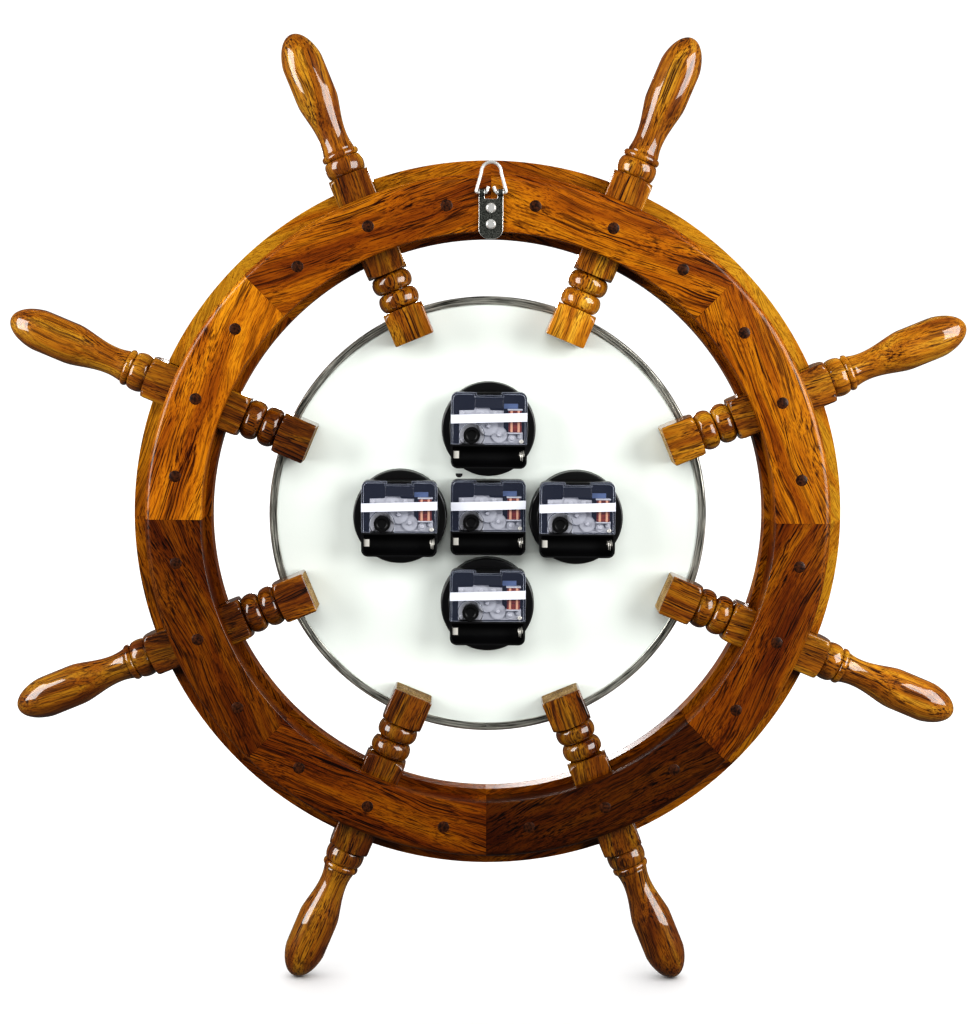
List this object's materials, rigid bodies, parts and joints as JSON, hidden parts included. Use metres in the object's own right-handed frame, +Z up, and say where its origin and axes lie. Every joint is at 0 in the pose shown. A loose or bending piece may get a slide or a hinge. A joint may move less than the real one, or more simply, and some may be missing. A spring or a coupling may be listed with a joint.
{
  "type": "ship wheel clock",
  "caption": "Wooden ship wheel wall clock: turned spokes through a doweled rim, a round dial with quartz clock inserts, set knobs and a folding ring hanger.",
  "frame": {"origin": "on the wall plane, straight behind the centre of the wheel", "axes": "+Z up, +Y into the wall, -Y into the room where the dial faces, +X to the right of someone looking at the dial"},
  "size_m": [0.705, 0.0626, 0.705],
  "materials": {
    "rim_wood": "lacquered sheesham, flat sawn, satin gloss",
    "turned_wood": "lacquered sheesham, lathe turned, glossy",
    "dial_paint": "off-white painted board, matt",
    "band_metal": "rolled band, tarnished and scuffed",
    "black_plastic": "moulded black plastic",
    "clear_plastic": "clear moulded plastic with a smoky blue tint",
    "hand_metal": "stamped and painted black",
    "hanger_steel": "zinc plated steel"
  },
  "bodies": {
    "root": {"spoke_1": "turned_wood", "spoke_2": "turned_wood", "spoke_3": "turned_wood", "spoke_4": "turned_wood", "spoke_5": "turned_wood", "spoke_6": "turned_wood", "spoke_7": "turned_wood", "spoke_8": "turned_wood", "rim_back_felloe_1": "rim_wood", "rim_back_felloe_2": "rim_wood", "rim_back_felloe_3": "rim_wood", "rim_back_felloe_4": "rim_wood", "rim_back_felloe_5": "rim_wood", "rim_back_felloe_6": "rim_wood", "rim_back_felloe_7": "rim_wood", "rim_back_felloe_8": "rim_wood", "rim_front_felloe_1": "rim_wood", "rim_front_felloe_2": "rim_wood", "rim_front_felloe_3": "rim_wood", "rim_front_felloe_4": "rim_wood", "rim_front_felloe_5": "rim_wood", "rim_front_felloe_6": "rim_wood", "rim_front_felloe_7": "rim_wood", "rim_front_felloe_8": "rim_wood", "dial_plate": "dial_paint", "dial_bezel": "band_metal", "insert_cup_top": "black_plastic", "insert_cup_right": "black_plastic", "insert_cup_bottom": "black_plastic", "insert_cup_left": "black_plastic", "movement_case_centre": "black_plastic", "movement_case_top": "black_plastic", "movement_case_right": "black_plastic", "movement_case_bottom": "black_plastic", "movement_case_left": "black_plastic", "movement_cover_centre": "clear_plastic", "movement_cover_top": "clear_plastic", "movement_cover_right": "clear_plastic", "movement_cover_bottom": "clear_plastic", "movement_cover_left": "clear_plastic", "hanger_strap": "hanger_steel", "hanger_screw_upper": "hanger_steel", "hanger_screw_lower": "hanger_steel"},
    "minute_hand_centre": {"minute_hand_centre": "hand_metal"},
    "minute_hand_top": {"minute_hand_top": "hand_metal"},
    "minute_hand_right": {"minute_hand_right": "hand_metal"},
    "minute_hand_bottom": {"minute_hand_bottom": "hand_metal"},
    "minute_hand_left": {"minute_hand_left": "hand_metal"},
    "hour_hand_centre": {"hour_hand_centre": "hand_metal"},
    "hour_hand_top": {"hour_hand_top": "hand_metal"},
    "hour_hand_right": {"hour_hand_right": "hand_metal"},
    "hour_hand_bottom": {"hour_hand_bottom": "hand_metal"},
    "hour_hand_left": {"hour_hand_left": "hand_metal"},
    "set_knob_centre": {"set_knob_centre": "black_plastic"},
    "set_knob_top": {"set_knob_top": "black_plastic"},
    "set_knob_right": {"set_knob_right": "black_plastic"},
    "set_knob_bottom": {"set_knob_bottom": "black_plastic"},
    "set_knob_left": {"set_knob_left": "black_plastic"},
    "second_hand_centre": {"second_hand_centre": "hand_metal"},
    "hanger_ring": {"hanger_ring": "hanger_steel"}
  },
  "joints": [
    {"name": "minute_turn_centre", "type": "hinge", "parent": "root", "child": "minute_hand_centre", "pos_m": [0, -0.04705, 0], "axis": [0, 1, 0], "continuous": true},
    {"name": "hour_turn_centre", "type": "hinge", "parent": "root", "child": "hour_hand_centre", "pos_m": [0, -0.04705, 0], "axis": [0, 1, 0], "continuous": true},
    {"name": "knob_turn_centre", "type": "hinge", "parent": "root", "child": "set_knob_centre", "pos_m": [0.0127, -0.04705, -0.0036], "axis": [0, 1, 0], "continuous": true},
    {"name": "second_turn_centre", "type": "hinge", "parent": "root", "child": "second_hand_centre", "pos_m": [0, -0.04705, 0], "axis": [0, 1, 0], "continuous": true},
    {"name": "minute_turn_top", "type": "hinge", "parent": "root", "child": "minute_hand_top", "pos_m": [0, -0.03505, 0.066], "axis": [0, 1, 0], "continuous": true},
    {"name": "hour_turn_top", "type": "hinge", "parent": "root", "child": "hour_hand_top", "pos_m": [0, -0.03505, 0.066], "axis": [0, 1, 0], "continuous": true},
    {"name": "knob_turn_top", "type": "hinge", "parent": "root", "child": "set_knob_top", "pos_m": [0.0127, -0.03505, 0.0624], "axis": [0, 1, 0], "continuous": true},
    {"name": "minute_turn_right", "type": "hinge", "parent": "root", "child": "minute_hand_right", "pos_m": [0.066, -0.03505, 0], "axis": [0, 1, 0], "continuous": true},
    {"name": "hour_turn_right", "type": "hinge", "parent": "root", "child": "hour_hand_right", "pos_m": [0.066, -0.03505, 0], "axis": [0, 1, 0], "continuous": true},
    {"name": "knob_turn_right", "type": "hinge", "parent": "root", "child": "set_knob_right", "pos_m": [0.0787, -0.03505, -0.0036], "axis": [0, 1, 0], "continuous": true},
    {"name": "minute_turn_bottom", "type": "hinge", "parent": "root", "child": "minute_hand_bottom", "pos_m": [0, -0.03505, -0.066], "axis": [0, 1, 0], "continuous": true},
    {"name": "hour_turn_bottom", "type": "hinge", "parent": "root", "child": "hour_hand_bottom", "pos_m": [0, -0.03505, -0.066], "axis": [0, 1, 0], "continuous": true},
    {"name": "knob_turn_bottom", "type": "hinge", "parent": "root", "child": "set_knob_bottom", "pos_m": [0.0127, -0.03505, -0.0696], "axis": [0, 1, 0], "continuous": true},
    {"name": "minute_turn_left", "type": "hinge", "parent": "root", "child": "minute_hand_left", "pos_m": [-0.066, -0.03505, 0], "axis": [0, 1, 0], "continuous": true},
    {"name": "hour_turn_left", "type": "hinge", "parent": "root", "child": "hour_hand_left", "pos_m": [-0.066, -0.03505, 0], "axis": [0, 1, 0], "continuous": true},
    {"name": "knob_turn_left", "type": "hinge", "parent": "root", "child": "set_knob_left", "pos_m": [-0.0533, -0.03505, -0.0036], "axis": [0, 1, 0], "continuous": true},
    {"name": "hanger_ring_fold", "type": "hinge", "parent": "root", "child": "hanger_ring", "pos_m": [0, -0.00255, 0.2384], "axis": [-1, 0, 0], "range_deg": [0, 170]}
  ],
  "couplings": [
    {"joint": "hour_turn_centre", "follows": "minute_turn_centre", "ratio": 0.083333},
    {"joint": "knob_turn_centre", "follows": "minute_turn_centre", "ratio": -0.33333},
    {"joint": "hour_turn_top", "follows": "minute_turn_top", "ratio": 0.083333},
    {"joint": "knob_turn_top", "follows": "minute_turn_top", "ratio": -0.33333},
    {"joint": "hour_turn_right", "follows": "minute_turn_right", "ratio": 0.083333},
    {"joint": "knob_turn_right", "follows": "minute_turn_right", "ratio": -0.33333},
    {"joint": "hour_turn_bottom", "follows": "minute_turn_bottom", "ratio": 0.083333},
    {"joint": "knob_turn_bottom", "follows": "minute_turn_bottom", "ratio": -0.33333},
    {"joint": "hour_turn_left", "follows": "minute_turn_left", "ratio": 0.083333},
    {"joint": "knob_turn_left", "follows": "minute_turn_left", "ratio": -0.33333}
  ]
}
